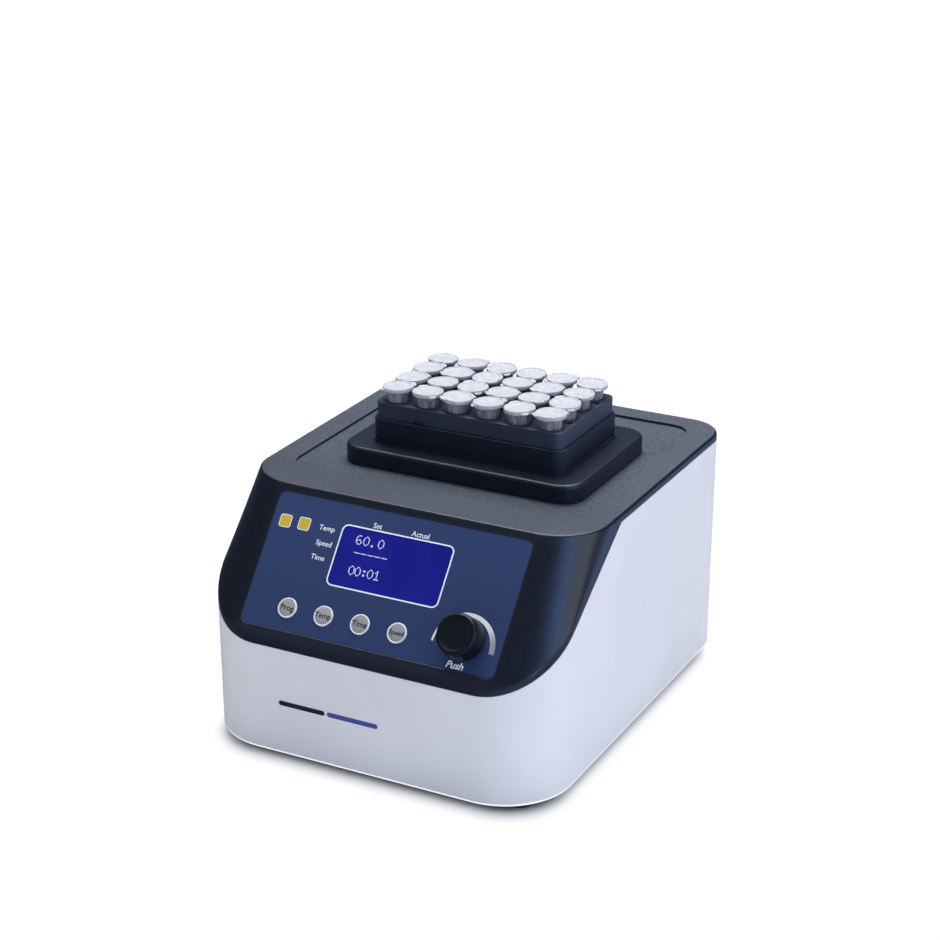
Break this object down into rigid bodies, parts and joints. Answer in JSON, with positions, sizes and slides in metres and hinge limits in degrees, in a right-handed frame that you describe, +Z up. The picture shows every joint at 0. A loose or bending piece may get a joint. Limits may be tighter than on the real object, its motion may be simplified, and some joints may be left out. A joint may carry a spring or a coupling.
{
  "type": "dry block heater",
  "caption": "Bench-top dry block heater and mixer with a tilted control panel, display, keys, push knob, and an orbiting tube block with capped sample tubes.",
  "frame": {"origin": "on the floor at the centre of the footprint", "axes": "+X to the right seen from the control panel side, +Y to the rear, +Z up; the control panel faces -Y"},
  "size_m": [0.22, 0.2622, 0.1886],
  "materials": {
    "white_shell": "smooth satin bluish white paint",
    "cover_black": "near-black moulding, fine spark-eroded grain on the upper face",
    "overlay_blue": "printed navy polyester film",
    "lcd_blue": "backlit deep blue display window",
    "display_metal": "pressed display can",
    "key_grey": "light grey key caps",
    "switch_black": "black switch bodies",
    "board_green": "green solder mask",
    "board_parts_dark": "dark electronic parts",
    "zinc_steel": "zinc plated fasteners and sheet",
    "base_steel": "dark powder coated base plate",
    "rubber_black": "black rubber",
    "knob_black": "matt black knob with a polished edge",
    "brass_nut": "nickel plated",
    "skirt_black": "satin black moulding, fine grain",
    "block_anodised": "black anodised aluminium",
    "insulation_foam": "dark closed-cell foam ring",
    "plate_aluminium": "milled aluminium",
    "ceramic_white": "white ceramic faces of the thermoelectric modules",
    "steel_bright": "ground steel",
    "bearing_steel": "bearing steel",
    "glide_white": "white low-friction plastic",
    "motor_shell": "dark grey motor can",
    "counter_brass": "turned brass",
    "rear_black": "black powder coated sheet",
    "contact_nickel": "nickel plated contacts",
    "rocker_black": "glossy black rocker",
    "fan_black": "black glass-filled plastic",
    "tube_clear": "translucent natural polypropylene",
    "lid_white": "natural polypropylene, milky white"
  },
  "bodies": {
    "case": {"lower_shell": "white_shell", "top_cover": "cover_black", "base_plate": "base_steel", "rubber_feet": "rubber_black", "case_screws": "zinc_steel", "panel_overlay": "overlay_blue", "lcd_glass": "lcd_blue", "lcd_module": "display_metal", "key_switches": "switch_black", "control_board": "board_green", "control_board_screws": "zinc_steel", "encoder_body": "display_metal", "encoder_nut": "brass_nut", "drive_frame": "zinc_steel", "frame_standoffs": "steel_bright", "frame_screws": "zinc_steel", "glide_pads": "glide_white", "frame_bearings": "bearing_steel", "motor_body": "motor_shell", "rear_panel": "rear_black", "rear_panel_screws": "zinc_steel", "power_inlet": "switch_black", "inlet_blades": "contact_nickel", "fuse_holder": "switch_black", "switch_body": "switch_black", "fan_frame": "fan_black", "supply_board": "board_green", "main_board": "board_green", "board_parts": "board_parts_dark", "board_spacers": "zinc_steel"},
    "crank": {"crank_shaft": "steel_bright", "motor_rotor": "steel_bright", "counterweight": "counter_brass"},
    "idler_left": {"idler_crank_left": "steel_bright"},
    "idler_right": {"idler_crank_right": "steel_bright"},
    "platform": {"platform_plate": "plate_aluminium", "platform_bearings": "bearing_steel", "platform_posts": "steel_bright", "heat_sink": "plate_aluminium", "peltier_modules": "ceramic_white", "thermal_plate": "plate_aluminium", "temperature_sensor": "steel_bright", "platform_skirt": "skirt_black", "block_shroud": "skirt_black", "block_insulation": "insulation_foam", "tube_block": "block_anodised", "block_screws": "steel_bright"},
    "tubes": {"sample_tubes": "tube_clear", "tube_caps": "lid_white"},
    "fan": {"fan_rotor": "fan_black"},
    "dial": {"encoder_rotor": "contact_nickel"},
    "knob": {"knob": "knob_black", "encoder_shaft": "steel_bright"},
    "key_prog": {"button_prog": "key_grey"},
    "key_temp": {"button_temp": "key_grey"},
    "key_time": {"button_time": "key_grey"},
    "key_speed": {"button_speed": "key_grey"},
    "rocker": {"switch_rocker": "rocker_black"}
  },
  "joints": [
    {"name": "crank_spin", "type": "hinge", "parent": "case", "child": "crank", "pos_m": [0.004, 0.0231, 0.07], "axis": [0, 0, 1], "continuous": true},
    {"name": "platform_orbit", "type": "hinge", "parent": "crank", "child": "platform", "pos_m": [0.0055, 0.0231, 0.08], "axis": [0, 0, 1], "continuous": true},
    {"name": "idler_left_spin", "type": "hinge", "parent": "case", "child": "idler_left", "pos_m": [-0.038, 0.0231, 0.065], "axis": [0, 0, 1], "continuous": true},
    {"name": "idler_right_spin", "type": "hinge", "parent": "case", "child": "idler_right", "pos_m": [0.046, 0.0231, 0.065], "axis": [0, 0, 1], "continuous": true},
    {"name": "tubes_lift", "type": "slide", "parent": "platform", "child": "tubes", "axis": [0, 0, 1], "range_m": [0, 0.04]},
    {"name": "fan_spin", "type": "hinge", "parent": "case", "child": "fan", "pos_m": [-0.044, 0.118, 0.092], "axis": [0, 1, 0], "continuous": true},
    {"name": "knob_turn", "type": "hinge", "parent": "case", "child": "dial", "pos_m": [0.0572, -0.11473, 0.09499], "axis": [0, -0.7793, 0.6266], "continuous": true},
    {"name": "knob_push", "type": "slide", "parent": "dial", "child": "knob", "axis": [0, -0.7793, 0.6266], "range_m": [-0.0006, 0]},
    {"name": "key_prog_press", "type": "slide", "parent": "case", "child": "key_prog", "axis": [0, -0.7793, 0.6266], "range_m": [-0.0006, 0]},
    {"name": "key_temp_press", "type": "slide", "parent": "case", "child": "key_temp", "axis": [0, -0.7793, 0.6266], "range_m": [-0.0006, 0]},
    {"name": "key_time_press", "type": "slide", "parent": "case", "child": "key_time", "axis": [0, -0.7793, 0.6266], "range_m": [-0.0006, 0]},
    {"name": "key_speed_press", "type": "slide", "parent": "case", "child": "key_speed", "axis": [0, -0.7793, 0.6266], "range_m": [-0.0006, 0]},
    {"name": "power_rocker", "type": "hinge", "parent": "case", "child": "rocker", "pos_m": [-0.006, 0.1215, 0.038], "axis": [1, 0, 0], "range_deg": [-14, 0]}
  ],
  "couplings": [
    {"joint": "platform_orbit", "follows": "crank_spin", "ratio": -1},
    {"joint": "idler_left_spin", "follows": "crank_spin", "ratio": 1},
    {"joint": "idler_right_spin", "follows": "crank_spin", "ratio": 1}
  ]
}
